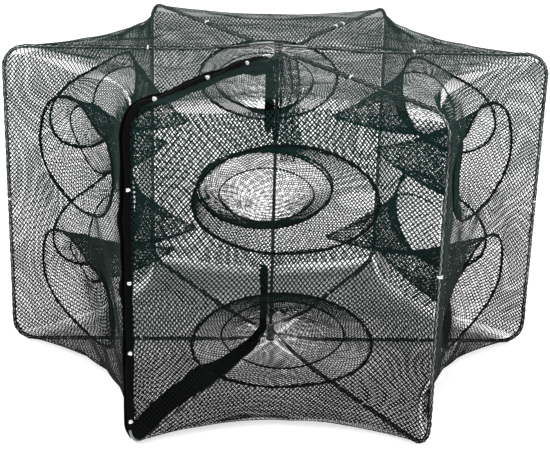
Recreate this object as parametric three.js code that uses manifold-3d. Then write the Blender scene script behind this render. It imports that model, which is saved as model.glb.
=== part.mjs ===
// Folding crab trap: six spring-steel wire pages hinged on a centre rod like the leaves of a book,
// covered with netting. Each of the six sectors between two pages has a top, a bottom and a side net,
// and two net funnels that lead in through oval mouths. A fabric closing flap runs round one page.
// Millimetres, +Z up. The origin is on the floor under the centre rod; +X runs along the right page.

import * as THREE from 'three';
import Module from 'manifold-3d';
import { mergeVertices } from 'three/addons/utils/BufferGeometryUtils.js';
import { ParametricGeometry } from 'three/addons/geometries/ParametricGeometry.js';

const wasm = await Module();
wasm.setup();

// Driving dimensions
const TRAP_RADIUS = 475;
const TRAP_HEIGHT = 555;
const WIRE_DIAMETER = 4.5;
const CORNER_RADIUS = 38;
const ROD_RADIUS = 3;
const EYE_PITCH = 5;
const ARM_STEP = 5;
const NET_THICKNESS = 1.2;
const NET_TO_PAGE = 5;
const NET_TO_EDGE = 1.5;
const NET_START = 26;
const EDGE_SAG = 75;
const WALL_SAG = 32;
const MOUTH_WIDTH = 282;
const MOUTH_HEIGHT = 168;
const MOUTH_CORD = 4.4;
const MOUTH_SIDES = 18;
const LOWER_MOUTH_Z = 172;
const UPPER_MOUTH_Z = 406;
const WAIST_DISTANCE = 335;
const WAIST_WIDTH = 196;
const WAIST_HEIGHT = 114;
const THROAT_DISTANCE = 190;
const THROAT_WIDTH = 44;
const THROAT_HEIGHT = 32;
const TAPE_WIDTH = 17;
const TAPE_THICKNESS = 2;
const TAPE_GAP = 0.4;
const TAPE_LEG_START = 16;
const TAPE_LEG = 125;
const TAPE_TO_WIRE = 1.5;

// Worked out from them
const WIRE_RADIUS = WIRE_DIAMETER / 2;
const RIM_RADIUS = TRAP_RADIUS - WIRE_RADIUS;
const FLOOR_ARM_Z = WIRE_RADIUS;
const TOP_ARM_Z = TRAP_HEIGHT - WIRE_RADIUS;
const CORNER_START = RIM_RADIUS - CORNER_RADIUS;
const EYE_CLEARANCE = 0.4;
const EYE_RADIUS = ROD_RADIUS + EYE_CLEARANCE + WIRE_RADIUS;
const HEAD_RADIUS = 8;
const HEAD_BOTTOM = 1.5;
const HEAD_TOP = 5.5;
const LOWEST_EYE_Z = HEAD_TOP + 0.5 + WIRE_RADIUS;
const SIXTH = Math.PI / 3;
const LAST_EYE_LEVEL = 5;
const LAST_ARM_LEVEL = 2;

// The pages in the order in which they fold, with the level of each arm and of each eye on the rod
const PAGES = [
  { name: 'front_left', azimuth: 240, armLevel: 0, eyeLevel: 0 },
  { name: 'front_right', azimuth: 300, armLevel: 1, eyeLevel: 2 },
  { name: 'right', azimuth: 0, armLevel: 2, eyeLevel: 4 },
  { name: 'back_right', azimuth: 60, armLevel: 0, eyeLevel: 1 },
  { name: 'back_left', azimuth: 120, armLevel: 1, eyeLevel: 3 },
  { name: 'left', azimuth: 180, armLevel: 2, eyeLevel: 5 },
];
const SECTORS = [
  { name: 'front', azimuth: 270 },
  { name: 'front_right', azimuth: 330 },
  { name: 'back_right', azimuth: 30 },
  { name: 'back', azimuth: 90 },
  { name: 'back_left', azimuth: 150 },
  { name: 'front_left', azimuth: 210 },
];

const steel = new THREE.MeshStandardMaterial({ color: 0x9aa39e, roughness: 0.35, metalness: 0.9 });
const netting = new THREE.MeshStandardMaterial({ color: 0x1b3a30, roughness: 0.85, metalness: 0 });
const mouthCord = new THREE.MeshStandardMaterial({ color: 0x0b1814, roughness: 0.8, metalness: 0 });
const closingTape = new THREE.MeshStandardMaterial({ color: 0x0a0a0c, roughness: 0.9, metalness: 0 });
const blackPlastic = new THREE.MeshStandardMaterial({ color: 0x141414, roughness: 0.5, metalness: 0 });

const trap = new THREE.Group();

// Helpers

// Welds shared corners, so that the geometry is one closed skin.
function weld(geometry) {
  geometry.deleteAttribute('normal');
  geometry.deleteAttribute('uv');
  return mergeVertices(geometry, 1e-4);
}

function toSolid(geometry) {
  const welded = weld(geometry);
  const vertProperties = new Float32Array(welded.attributes.position.array);
  const triVerts = new Uint32Array(welded.index.array);
  return new wasm.Manifold(new wasm.Mesh({ numProp: 3, vertProperties, triVerts }));
}

function toGeometry(solid) {
  const mesh = solid.getMesh();
  const geometry = new THREE.BufferGeometry();
  geometry.setAttribute('position', new THREE.BufferAttribute(mesh.vertProperties, 3));
  geometry.setIndex(new THREE.BufferAttribute(mesh.triVerts, 1));
  return geometry;
}

function addPiece(group, name, geometry, material) {
  const mesh = new THREE.Mesh(geometry, material.clone());
  mesh.name = name;
  group.add(mesh);
  return mesh;
}

function groupAt(azimuth) {
  const group = new THREE.Group();
  group.rotation.z = THREE.MathUtils.degToRad(azimuth);
  trap.add(group);
  return group;
}

// A curve through chosen stations, which ExtrudeGeometry then uses as they are.
class StationCurve extends THREE.Curve {
  constructor(stations) {
    super();
    this.stations = stations;
  }

  getPointAt(u, target = new THREE.Vector3()) {
    const last = this.stations.length - 1;
    return target.copy(this.stations[Math.round(u * last)]);
  }

  getTangentAt(u, target = new THREE.Vector3()) {
    const last = this.stations.length - 1;
    const at = Math.round(u * last);
    const here = this.stations[at];
    const before = at > 0 ? here.clone().sub(this.stations[at - 1]).normalize() : new THREE.Vector3();
    const after = at < last ? this.stations[at + 1].clone().sub(here).normalize() : new THREE.Vector3();
    return target.copy(before).add(after).normalize();
  }
}

function sweep(section, stations) {
  const path = new StationCurve(stations);
  return new THREE.ExtrudeGeometry(section, {
    steps: stations.length - 1,
    extrudePath: path,
    bevelEnabled: false,
  });
}

// A round bar's section with flats towards the section's own axes.
function barSection(radius, sides) {
  const section = new THREE.Shape();
  const cornerRadius = radius / Math.cos(Math.PI / sides);
  for (let side = 0; side < sides; side += 1) {
    const angle = (2 * Math.PI * (side + 0.5)) / sides;
    const x = cornerRadius * Math.cos(angle);
    const y = cornerRadius * Math.sin(angle);
    if (side === 0) section.moveTo(x, y);
    else section.lineTo(x, y);
  }
  section.closePath();
  return section;
}

function stripSection(across, along) {
  const section = new THREE.Shape();
  section.moveTo(-across / 2, -along / 2);
  section.lineTo(across / 2, -along / 2);
  section.lineTo(across / 2, along / 2);
  section.lineTo(-across / 2, along / 2);
  section.closePath();
  return section;
}

// A thin closed skin over a grid of corners. corner(column, row, side) gives each corner of the outer
// side (1) and of the inner side (-1), and both sides bend on the same diagonals, so that the skin keeps
// its thickness. A grid that joins round on itself has rims only at its first and last rows.
function thinSkin(columns, rows, joinsRound, corner) {
  const perRow = joinsRound ? columns : columns + 1;
  const corners = [];
  for (const side of [1, -1]) {
    for (let row = 0; row <= rows; row += 1) {
      for (let column = 0; column < perRow; column += 1) corners.push(corner(column, row, side));
    }
  }
  const at = (column, row, side) => {
    const firstOfSide = side > 0 ? 0 : perRow * (rows + 1);
    return firstOfSide + row * perRow + (column % perRow);
  };
  const triangles = [];
  const quad = (a, b, c, d) => triangles.push(a, b, c, a, c, d);
  for (let row = 0; row < rows; row += 1) {
    for (let column = 0; column < columns; column += 1) {
      for (const side of [1, -1]) {
        const a = at(column, row, side);
        const b = at(column + 1, row, side);
        const c = at(column + 1, row + 1, side);
        const d = at(column, row + 1, side);
        if (side > 0) quad(a, b, c, d);
        else quad(a, d, c, b);
      }
    }
  }
  for (let column = 0; column < columns; column += 1) {
    quad(at(column + 1, 0, 1), at(column, 0, 1), at(column, 0, -1), at(column + 1, 0, -1));
    quad(at(column, rows, 1), at(column + 1, rows, 1), at(column + 1, rows, -1), at(column, rows, -1));
  }
  for (let row = 0; row < rows && !joinsRound; row += 1) {
    quad(at(0, row, 1), at(0, row + 1, 1), at(0, row + 1, -1), at(0, row, -1));
    quad(at(columns, row + 1, 1), at(columns, row, 1), at(columns, row, -1), at(columns, row + 1, -1));
  }
  const geometry = new THREE.BufferGeometry();
  geometry.setFromPoints(corners);
  geometry.setIndex(triangles);
  return geometry;
}

// A plate bent to surface(u, v), with u and v from -1 to 1, and as thick as the netting.
function bentPlate(surface, uSteps, vSteps) {
  const step = 1e-3;
  return thinSkin(uSteps, vSteps, false, (column, row, side) => {
    const u = (2 * column) / uSteps - 1;
    const v = (2 * row) / vSteps - 1;
    const alongU = surface(u + step, v).sub(surface(u - step, v));
    const alongV = surface(u, v + step).sub(surface(u, v - step));
    const normal = alongU.cross(alongV).normalize();
    return surface(u, v).addScaledVector(normal, (side * NET_THICKNESS) / 2);
  });
}

// Wire pages

function smooth(from, to, value) {
  const t = THREE.MathUtils.clamp((value - from) / (to - from), 0, 1);
  return t * t * (3 - 2 * t);
}

// Height of an arm above the level that it has at the rim, so that folded arms pass each other.
function armRise(radius, armOffset, eyeOffset) {
  const eyeZoneEnd = 12;
  const hubZoneEnd = 90;
  const levelZoneEnd = 150;
  const towardsArm = smooth(eyeZoneEnd, hubZoneEnd, radius);
  const towardsRim = THREE.MathUtils.clamp((radius - hubZoneEnd) / (levelZoneEnd - hubZoneEnd), 0, 1);
  return eyeOffset * (1 - towardsArm) + armOffset * towardsArm * (1 - towardsRim);
}

function pageOffsets(page) {
  return {
    topArm: (page.armLevel - LAST_ARM_LEVEL / 2) * ARM_STEP,
    topEye: (page.eyeLevel - LAST_EYE_LEVEL / 2) * EYE_PITCH,
    floorArm: (LAST_ARM_LEVEL - page.armLevel) * ARM_STEP,
    floorEye: LOWEST_EYE_Z - FLOOR_ARM_Z + (LAST_EYE_LEVEL - page.eyeLevel) * EYE_PITCH,
  };
}

// Stations round a page in its own plane (x outwards, z up), inset towards the middle of the page.
function pageStations(page, inset, startRadius) {
  const offsets = pageOffsets(page);
  const hubRadii = [startRadius, 12, 24, 40, 56, 72, 90, 120, 150].filter((r) => r >= startRadius);
  const cornerSteps = 5;
  const radius = CORNER_RADIUS - inset;
  const stations = [];
  for (const r of hubRadii) {
    const z = TOP_ARM_Z - inset + armRise(r, offsets.topArm, offsets.topEye);
    stations.push(new THREE.Vector3(r, 0, z));
  }
  for (let step = 0; step <= cornerSteps; step += 1) {
    const angle = Math.PI / 2 - (step / cornerSteps) * (Math.PI / 2);
    const x = CORNER_START + radius * Math.cos(angle);
    const z = TOP_ARM_Z - CORNER_RADIUS + radius * Math.sin(angle);
    stations.push(new THREE.Vector3(x, 0, z));
  }
  for (let step = 0; step <= cornerSteps; step += 1) {
    const angle = -(step / cornerSteps) * (Math.PI / 2);
    const x = CORNER_START + radius * Math.cos(angle);
    const z = FLOOR_ARM_Z + CORNER_RADIUS + radius * Math.sin(angle);
    stations.push(new THREE.Vector3(x, 0, z));
  }
  for (const r of hubRadii.slice().reverse()) {
    const z = FLOOR_ARM_Z + inset + armRise(r, offsets.floorArm, offsets.floorEye);
    stations.push(new THREE.Vector3(r, 0, z));
  }
  return stations;
}

function eye(z) {
  const ring = new THREE.TorusGeometry(EYE_RADIUS, WIRE_RADIUS, 8, 12);
  ring.translate(0, 0, z);
  return toSolid(ring);
}

function pageFrame(page) {
  const stations = pageStations(page, 0, EYE_RADIUS);
  const wire = toSolid(sweep(barSection(WIRE_RADIUS, 8), stations));
  const topEye = eye(stations[0].z);
  const floorEye = eye(stations[stations.length - 1].z);
  return toGeometry(wire.add(topEye).add(floorEye));
}

for (const page of PAGES) {
  addPiece(groupAt(page.azimuth), `frame_${page.name}`, pageFrame(page), steel);
}

// Centre rod, headed at the bottom, and the cap pressed over its top end

const TOP_EYE_Z = TOP_ARM_Z + (LAST_EYE_LEVEL / 2) * EYE_PITCH;
const CAP_BOTTOM = TOP_EYE_Z + WIRE_RADIUS + 0.5;
const CAP_HEIGHT = 4;
const CAP_TOP_THICKNESS = 1.5;
const CAP_GAP = 0.3;
const CAP_CHAMFER = 1;

// A round part about the trap's axis, from its half outline as [radius, height] corners.
function turned(outline) {
  const profile = outline.map(([radius, height]) => new THREE.Vector2(radius, height));
  const geometry = new THREE.LatheGeometry(profile, 12);
  geometry.rotateX(Math.PI / 2);
  return weld(geometry);
}

function centreRod() {
  const end = CAP_BOTTOM + CAP_HEIGHT - CAP_TOP_THICKNESS - CAP_GAP;
  return turned([
    [0, HEAD_BOTTOM],
    [HEAD_RADIUS - CAP_CHAMFER, HEAD_BOTTOM],
    [HEAD_RADIUS, HEAD_BOTTOM + CAP_CHAMFER],
    [HEAD_RADIUS, HEAD_TOP],
    [ROD_RADIUS, HEAD_TOP],
    [ROD_RADIUS, end],
    [0, end],
  ]);
}

function rodCap() {
  const bore = ROD_RADIUS + CAP_GAP;
  const bottom = CAP_BOTTOM;
  const top = CAP_BOTTOM + CAP_HEIGHT;
  return turned([
    [0, top - CAP_TOP_THICKNESS],
    [bore, top - CAP_TOP_THICKNESS],
    [bore, bottom],
    [HEAD_RADIUS, bottom],
    [HEAD_RADIUS, top - CAP_CHAMFER],
    [HEAD_RADIUS - CAP_CHAMFER, top],
    [0, top],
  ]);
}

const hub = groupAt(0);
addPiece(hub, 'centre_rod', centreRod(), steel);
addPiece(hub, 'rod_cap', rodCap(), blackPlastic);

// Nets of one sector: x points out through the middle of its side, y across it

const HALF_SIN = Math.sin(SIXTH / 2);
const HALF_COS = Math.cos(SIXTH / 2);

// How far the middle of the side net is pulled in from the line between two pages.
function wallSag(z) {
  const fromMiddle = Math.abs((2 * z) / TRAP_HEIGHT - 1);
  return WALL_SAG + (EDGE_SAG - WALL_SAG) * fromMiddle ** 3;
}

function sectorPoint(radius, z, across, sag) {
  const x = radius * HALF_COS - sag * (1 - across * across);
  const y = across * (radius * HALF_SIN - NET_TO_PAGE);
  return new THREE.Vector3(x, y, z);
}

const CORNER_MIDDLE = CORNER_RADIUS * Math.SQRT1_2;

// Radius of a page's outline at a height on its side.
function outlineRadius(z) {
  const cornerZ = z > TRAP_HEIGHT / 2 ? TOP_ARM_Z - CORNER_RADIUS : FLOOR_ARM_Z + CORNER_RADIUS;
  const beyond = z > TRAP_HEIGHT / 2 ? z - cornerZ : cornerZ - z;
  if (beyond <= 0) return RIM_RADIUS;
  return CORNER_START + Math.sqrt(CORNER_RADIUS ** 2 - beyond ** 2);
}

// Height of a page's outline below the top arm, at a radius.
function cornerDrop(radius) {
  const beyond = Math.max(radius - CORNER_START, 0);
  return CORNER_RADIUS - Math.sqrt(CORNER_RADIUS ** 2 - beyond ** 2);
}

function wallPoint(across, up) {
  const low = FLOOR_ARM_Z + CORNER_RADIUS - CORNER_MIDDLE + NET_TO_EDGE;
  const high = TOP_ARM_Z - CORNER_RADIUS + CORNER_MIDDLE - NET_TO_EDGE;
  const z = THREE.MathUtils.lerp(low, high, (up + 1) / 2);
  return sectorPoint(outlineRadius(z), z, across, wallSag(z));
}

function sideX(y, z) {
  const across = y / (RIM_RADIUS * HALF_SIN - NET_TO_PAGE);
  return sectorPoint(RIM_RADIUS, z, across, wallSag(z)).x;
}

function flatNet(isTop) {
  const outer = CORNER_START + CORNER_MIDDLE - NET_TO_EDGE;
  const surface = (across, out) => {
    const radius = THREE.MathUtils.lerp(NET_START, outer, (out + 1) / 2);
    const sag = EDGE_SAG * (radius / RIM_RADIUS) ** 2;
    const drop = cornerDrop(radius);
    const z = isTop ? TOP_ARM_Z - drop : FLOOR_ARM_Z + drop;
    return sectorPoint(radius, z, across, sag);
  };
  return bentPlate(surface, 4, 6);
}

function mouthCutter(z) {
  const clear = MOUTH_CORD / 2 + 0.8;
  const oval = new THREE.Shape();
  oval.absellipse(0, 0, MOUTH_WIDTH / 2 + clear, MOUTH_HEIGHT / 2 + clear, 0, 2 * Math.PI, false, 0);
  const cutter = new THREE.ExtrudeGeometry(oval, { depth: 200, bevelEnabled: false, curveSegments: MOUTH_SIDES / 2 });
  cutter.rotateX(Math.PI / 2);
  cutter.rotateZ(Math.PI / 2);
  cutter.translate(300, 0, z);
  return toSolid(cutter);
}

function sideNet() {
  const plate = toSolid(bentPlate(wallPoint, 4, 8));
  return toGeometry(plate.subtract(mouthCutter(LOWER_MOUTH_Z)).subtract(mouthCutter(UPPER_MOUTH_Z)));
}

// The cord round a mouth lies in the side net's own curve.
function mouthRing(centreZ) {
  const tube = MOUTH_CORD / 2;
  const surface = (u, v, target) => {
    const around = 2 * Math.PI * u;
    const turn = 2 * Math.PI * v;
    const reach = tube * Math.cos(turn);
    const y = (MOUTH_WIDTH / 2 + reach) * Math.cos(around);
    const z = centreZ + (MOUTH_HEIGHT / 2 + reach) * Math.sin(around);
    const lift = tube * Math.sin(turn);
    target.set(sideX(y, z) + lift, y, z);
  };
  return weld(new ParametricGeometry(surface, MOUTH_SIDES, 5));
}

// An open cone of netting from the mouth, over an oval waist, to the small throat near the centre.
function funnel(centreZ) {
  const mouthGap = MOUTH_CORD / 2 + 1;
  const rings = [
    { width: THROAT_WIDTH, height: THROAT_HEIGHT, distance: THROAT_DISTANCE },
    { width: WAIST_WIDTH, height: WAIST_HEIGHT, distance: WAIST_DISTANCE },
    { width: MOUTH_WIDTH - MOUTH_CORD, height: MOUTH_HEIGHT - MOUTH_CORD },
  ];
  return thinSkin(MOUTH_SIDES, rings.length - 1, true, (column, row, side) => {
    const around = (2 * Math.PI * column) / MOUTH_SIDES;
    const ring = rings[row];
    const wall = side > 0 ? 0 : NET_THICKNESS;
    const y = (ring.width / 2 - wall) * Math.cos(around);
    const z = centreZ + (ring.height / 2 - wall) * Math.sin(around);
    return new THREE.Vector3(ring.distance ?? sideX(y, z) - mouthGap, y, z);
  });
}

for (const sector of SECTORS) {
  const group = groupAt(sector.azimuth);
  addPiece(group, `top_net_${sector.name}`, flatNet(true), netting);
  addPiece(group, `bottom_net_${sector.name}`, flatNet(false), netting);
  addPiece(group, `side_net_${sector.name}`, sideNet(), netting);
  for (const [tier, z] of [['lower', LOWER_MOUTH_Z], ['upper', UPPER_MOUTH_Z]]) {
    addPiece(group, `mouth_ring_${tier}_${sector.name}`, mouthRing(z), mouthCord);
    addPiece(group, `funnel_${tier}_${sector.name}`, funnel(z), netting);
  }
}

// Closing flap: a hook tape inside the front left page, and the loop tape on the last sector's free edge

function tape(page) {
  const inset = WIRE_RADIUS + TAPE_TO_WIRE + TAPE_WIDTH / 2;
  const legRadius = TAPE_LEG_START + TAPE_WIDTH / 2;
  const around = pageStations(page, inset, legRadius);
  const first = around[0];
  const last = around[around.length - 1];
  const stations = [
    new THREE.Vector3(legRadius, 0, first.z - TAPE_LEG),
    ...around,
    new THREE.Vector3(legRadius, 0, last.z + TAPE_LEG),
  ];
  return weld(sweep(stripSection(TAPE_THICKNESS, TAPE_WIDTH), stations));
}

const seam = groupAt(PAGES[0].azimuth);
const tapeOffset = (TAPE_THICKNESS + TAPE_GAP) / 2;
addPiece(seam, 'closing_tape_hook', tape(PAGES[0]), closingTape).position.y = tapeOffset;
addPiece(seam, 'closing_tape_loop', tape(PAGES[0]), closingTape).position.y = -tapeOffset;

export default trap;
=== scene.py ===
# Looks of the folding crab trap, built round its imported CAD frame. Metres, +Z up.
# Six wire pages hinge on the centre rod; the netting between them is real mesh, strand by strand.
import math

import bmesh
import bpy
import numpy as np
from mathutils import Matrix, Vector


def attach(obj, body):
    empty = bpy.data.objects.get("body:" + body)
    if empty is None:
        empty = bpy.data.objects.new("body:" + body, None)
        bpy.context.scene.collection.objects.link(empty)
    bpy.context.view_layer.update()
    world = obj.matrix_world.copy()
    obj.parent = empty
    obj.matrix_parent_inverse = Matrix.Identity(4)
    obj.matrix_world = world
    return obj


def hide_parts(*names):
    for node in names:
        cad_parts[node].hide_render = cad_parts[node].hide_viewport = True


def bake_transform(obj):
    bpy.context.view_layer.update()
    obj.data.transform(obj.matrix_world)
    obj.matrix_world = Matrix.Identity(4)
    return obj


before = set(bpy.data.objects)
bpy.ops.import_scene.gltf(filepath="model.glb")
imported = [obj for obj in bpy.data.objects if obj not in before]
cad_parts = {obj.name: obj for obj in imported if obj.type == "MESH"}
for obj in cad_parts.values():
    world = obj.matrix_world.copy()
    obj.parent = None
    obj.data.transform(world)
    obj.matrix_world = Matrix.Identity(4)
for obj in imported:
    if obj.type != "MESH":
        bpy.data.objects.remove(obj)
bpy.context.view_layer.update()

# Dimensions shared with the CAD part
TRAP_RADIUS = 0.475
TRAP_HEIGHT = 0.555
WIRE_RADIUS = 0.00225
CORNER_RADIUS = 0.038
EYE_PITCH = 0.005
ARM_STEP = 0.005
EDGE_SAG = 0.075
WALL_SAG = 0.032
MOUTH_WIDTH = 0.282
MOUTH_HEIGHT = 0.168
LOWER_MOUTH_Z = 0.172
UPPER_MOUTH_Z = 0.406
TAPE_LEG = 0.125

RIM_RADIUS = TRAP_RADIUS - WIRE_RADIUS
FLOOR_ARM_Z = WIRE_RADIUS
TOP_ARM_Z = TRAP_HEIGHT - WIRE_RADIUS
CORNER_START = RIM_RADIUS - CORNER_RADIUS
EYE_RADIUS = 0.00565
LOWEST_EYE_Z = 0.00825
LAST_EYE_LEVEL = 5
LAST_ARM_LEVEL = 2
# A sector spans 60 degrees, so its edges lie 30 degrees from its middle
HALF_SIN = 0.5
HALF_COS = math.cos(math.pi / 6)
# An arm climbs from its eye to its own level, then falls to the rim's level, between these radii
EYE_REGION = 0.012
ARM_CLIMB_END = 0.090
ARM_FALL = 0.060

# Netting
BAR = 0.0055
DIAMOND_ANGLE = math.radians(50)
STRAND_RADIUS = 0.00110
FLAT_NET_STRAND_RADIUS = 0.00090
STRAND_FLATNESS = 0.35
SEGMENT = 0.010
ROW_STEP = 0.0015
SHORTEST_RUN = 0.004
NET_GAP = 0.0045
SIDE_LOW_Z = FLOOR_ARM_Z + CORNER_RADIUS * (1 - math.sqrt(0.5))
SIDE_HIGH_Z = TOP_ARM_Z - CORNER_RADIUS * (1 - math.sqrt(0.5))
FLAT_START = 0.012
FLAT_END = CORNER_START + CORNER_RADIUS * math.sqrt(0.5)

# Sleeves: netting wound round each page's wire, looser beyond the hub and thicker on the bottom arm
SLEEVE_START = 0.05
SLEEVE_LOOSE = 0.12
SLEEVE_STRANDS = 4
SLEEVE_REACH = 0.0026
SLEEVE_WOBBLE = 0.0005
SLEEVE_TURN = 0.0085
SLEEVE_STRAND_RADIUS = 0.0006
LOW_SLEEVE_EXTRA = 0.0004

# Funnels: depth runs from 0 at the mouth to 1 at the throat
RING_DEPTH = 0.3
THROAT_HALF_WIDTH = 0.004
THROAT_HALF_HEIGHT = 0.003
FUNNEL_STRANDS = 80
FUNNEL_STEPS = 26
FUNNEL_TWIST = 2.4
FUNNEL_REACHES = (1.0, 0.80, 0.64, 0.48)
FUNNEL_STRAND_RADIUS = 0.00070
FUNNEL_TAPER = 0.35
FUNNEL_PUCKER = 0.045
FUNNEL_SAG = 0.007

# Mouths: a cord on the edge, a thinner one round the inner ring, and loose turns of netting
MOUTH_CORD_RADIUS = 0.0018
INNER_CORD_RADIUS = 0.0014
CORD_STEPS = 220
BINDING_TURNS = 7
BINDING_STEPS = 170
BINDING_RADIUS = 0.0005
BINDING_SHRINK = 0.0012
BINDING_LONG_WAVE = 0.0022
BINDING_SHORT_WAVE = 0.0012
BINDING_LIFT = 0.0016
MOUTH_CORNER_ANGLE = math.radians(36)
MOUTH_FLAT_ANGLE = math.radians(16)
MOUTH_CORNER_REACH = 0.24
MOUTH_FLAT_REACH = 0.22
MOUTH_CORNER_SPREAD = 0.5

# Directions that the strands' sections are built on
UPWARDS = np.array([0.0, 0.0, 1.0])
SKEW = np.array([0.3, 0.2, 0.9])

# Closing band
BAND_INSET = 0.004
BAND_LEG_RADIUS = 0.027
BAND_STEP = 0.004
BAND_SIDES = 20
BAND_TIP = 0.012
BULGE_HEIGHTS = ((0.385, 0.035), (0.275, 0.028))
# The band's half width, and what is added to it on each stretch
BAND_HALF_WIDTH = 0.0110
LEG_WIDTH = -0.0020
TOP_WIDTH = -0.0018
LOW_RIM_WIDTH = -0.0015
FLOOR_WIDTH = 0.0035
MID_FLOOR_WIDTH = 0.0060
BULGE_WIDTH = 0.0025
HUB_WIDTH = 0.0035
LONG_WAVE_WIDTH = 0.0012
SHORT_WAVE_WIDTH = 0.0008
# How far the band lies inside the page's outline on each stretch
FLOOR_DRIFT = 0.012
MID_FLOOR_DRIFT = 0.010
HUB_DRIFT = 0.0040
LOW_RIM_DRIFT = -0.0020
WAVE_DRIFT = 0.0010
# Half thickness of the hook half, which wraps the wire, and of the loop half, which lies beside it
HOOK_THICKNESS = 0.0026
LOOP_THICKNESS = 0.0014
LOOP_OFFSET = -0.0043
CREASE_DEPTH = 0.22

# Ties
TIE_REACH = 0.0037
TIE_CORD_RADIUS = 0.0010
TIE_STEPS = 48
BAND_TIE_REACH = 0.0023
BAND_TIE_OUTSET = 0.0042
BAND_TIE_LATERAL = 0.0048

# Netting at the hub: strands gathered round the rod, and a crumpled strip beside it
GATHER_STRANDS = 22
GATHER_STEPS = 30
GATHER_LENGTH = 0.15
GATHER_DROP = 0.012
GATHER_NARROWING = 0.004
GATHER_RADIUS = 0.0085
GATHER_STRAND_RADIUS = 0.0008
STRIP_WIDTH = 0.085
STRIP_HEIGHT = 0.19
STRIP_DROP = 0.014

# Light
WORLD_STRENGTH = 1.05
KEY_POWER = 55
TOP_POWER = 50
FILL_POWER = 20
FLOOR_GLOW = 0.85

# Pages: azimuth, level of the arm and of the eye on the rod, and the body
PAGES = {
    "front_left": (240, 0, 0),
    "front_right": (300, 1, 2),
    "right": (0, 2, 4),
    "back_right": (60, 0, 1),
    "back_left": (120, 1, 3),
    "left": (180, 2, 5),
}
# Sectors: azimuth of the middle, and the two bodies that the netting joins, clockwise one first
SECTORS = {
    "front": (270, "page_front_left", "page_front_right"),
    "front_right": (330, "page_front_right", "page_right"),
    "back_right": (30, "page_right", "page_back_right"),
    "back": (90, "page_back_right", "page_back_left"),
    "back_left": (150, "page_back_left", "page_left"),
    "front_left": (210, "page_left", "free_edge"),
}
MOUTHS = {"lower": LOWER_MOUTH_Z, "upper": UPPER_MOUTH_Z}
# How strongly the netting draws a sector's mouths out to one upper corner, towards -y or +y
MOUTH_PULLS = {"front_left": -1.0, "front_right": 1.0, "back_left": -0.5, "back_right": 0.5}

# How a funnel hangs: half size of its inner ring, the ring's shift sideways and up, its distance from the
# axis and how far it leans; then the throat's shift and its distance from the axis
USUAL_FUNNEL = {
    "ring_half": (0.098, 0.057),
    "ring_shift": (0.0, 0.0),
    "ring_at": 0.335,
    "ring_lean": 0.0,
    "throat_shift": (0.0, 0.0),
    "throat_at": 0.190,
}
ODD_FUNNELS = {
    ("front", "upper"): {
        "ring_half": (0.104, 0.061), "ring_shift": (-0.032, 0.004),
        "throat_shift": (-0.060, -0.060), "throat_at": 0.215,
    },
    ("front", "lower"): {"ring_shift": (0.004, -0.006), "throat_shift": (0.004, -0.030)},
    ("front_left", "upper"): {
        "ring_half": (0.097, 0.055), "ring_shift": (-0.027, 0.026),
        "throat_shift": (0.0, 0.010), "throat_at": 0.220,
    },
    ("front_left", "lower"): {
        "ring_half": (0.065, 0.038), "ring_shift": (-0.070, 0.032),
        "throat_shift": (-0.010, 0.045), "throat_at": 0.200,
    },
    ("front_right", "upper"): {"ring_half": (0.090, 0.058), "ring_lean": -0.5, "throat_at": 0.190},
    ("front_right", "lower"): {
        "ring_half": (0.080, 0.050), "ring_shift": (0.020, 0.022), "ring_lean": -0.35,
        "throat_shift": (0.0, 0.050), "throat_at": 0.213,
    },
    ("back_right", "upper"): {
        "ring_shift": (0.010, 0.008), "throat_shift": (0.0, 0.012), "throat_at": 0.125,
    },
    ("back_right", "lower"): {"throat_shift": (0.008, 0.010), "throat_at": 0.125},
    ("back_left", "upper"): {
        "ring_shift": (-0.012, 0.010), "throat_shift": (0.010, -0.008), "throat_at": 0.180,
    },
    ("back_left", "lower"): {
        "ring_shift": (0.008, 0.006), "throat_shift": (0.0, 0.020), "throat_at": 0.165,
    },
    ("back", "upper"): {
        "ring_shift": (0.010, 0.006), "throat_shift": (-0.008, -0.012), "throat_at": 0.175,
    },
    ("back", "lower"): {"throat_shift": (0.012, -0.010), "throat_at": 0.185},
}


# ---------------------------------------------------------------- camera, floor and light


def add_camera():
    """From the front and a little above, with a slight roll, as the photograph was taken."""
    azimuth = math.radians(2.79)
    elevation = math.radians(20.23)
    roll = math.radians(1.6)
    distance = 2.464
    target = Vector((0.003, 0, 0.229))
    forward = Vector((
        math.sin(azimuth) * math.cos(elevation),
        math.cos(azimuth) * math.cos(elevation),
        -math.sin(elevation),
    ))
    data = bpy.data.cameras.new("camera")
    data.lens = 88.9
    data.sensor_width = 36
    camera = bpy.data.objects.new("camera", data)
    bpy.context.collection.objects.link(camera)
    look = forward.to_track_quat("-Z", "Y")
    camera.matrix_world = (
        Matrix.Translation(target - forward * distance)
        @ look.to_matrix().to_4x4()
        @ Matrix.Rotation(roll, 4, "Z")
    )
    bpy.context.scene.camera = camera


def add_area_light(name, position, target, size, power):
    data = bpy.data.lights.new(name, "AREA")
    data.shape = "DISK"
    data.size = size
    data.energy = power
    light = bpy.data.objects.new(name, data)
    light.location = position
    light.rotation_euler = (Vector(target) - Vector(position)).to_track_quat("-Z", "Y").to_euler()
    bpy.context.collection.objects.link(light)


def add_studio():
    world = bpy.data.worlds.new("studio")
    world.use_nodes = True
    background = world.node_tree.nodes["Background"]
    background.inputs["Color"].default_value = (1, 1, 1, 1)
    background.inputs["Strength"].default_value = WORLD_STRENGTH
    bpy.context.scene.world = world
    bpy.context.scene.view_settings.view_transform = "Standard"
    middle = (0, 0, 0.3)
    add_area_light("key_light", (-1.6, -2.2, 2.8), middle, 1.6, KEY_POWER)
    add_area_light("top_light", (0.6, 0.8, 3.0), middle, 2.0, TOP_POWER)
    add_area_light("fill_light", (2.4, -1.0, 1.2), middle, 1.6, FILL_POWER)


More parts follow.
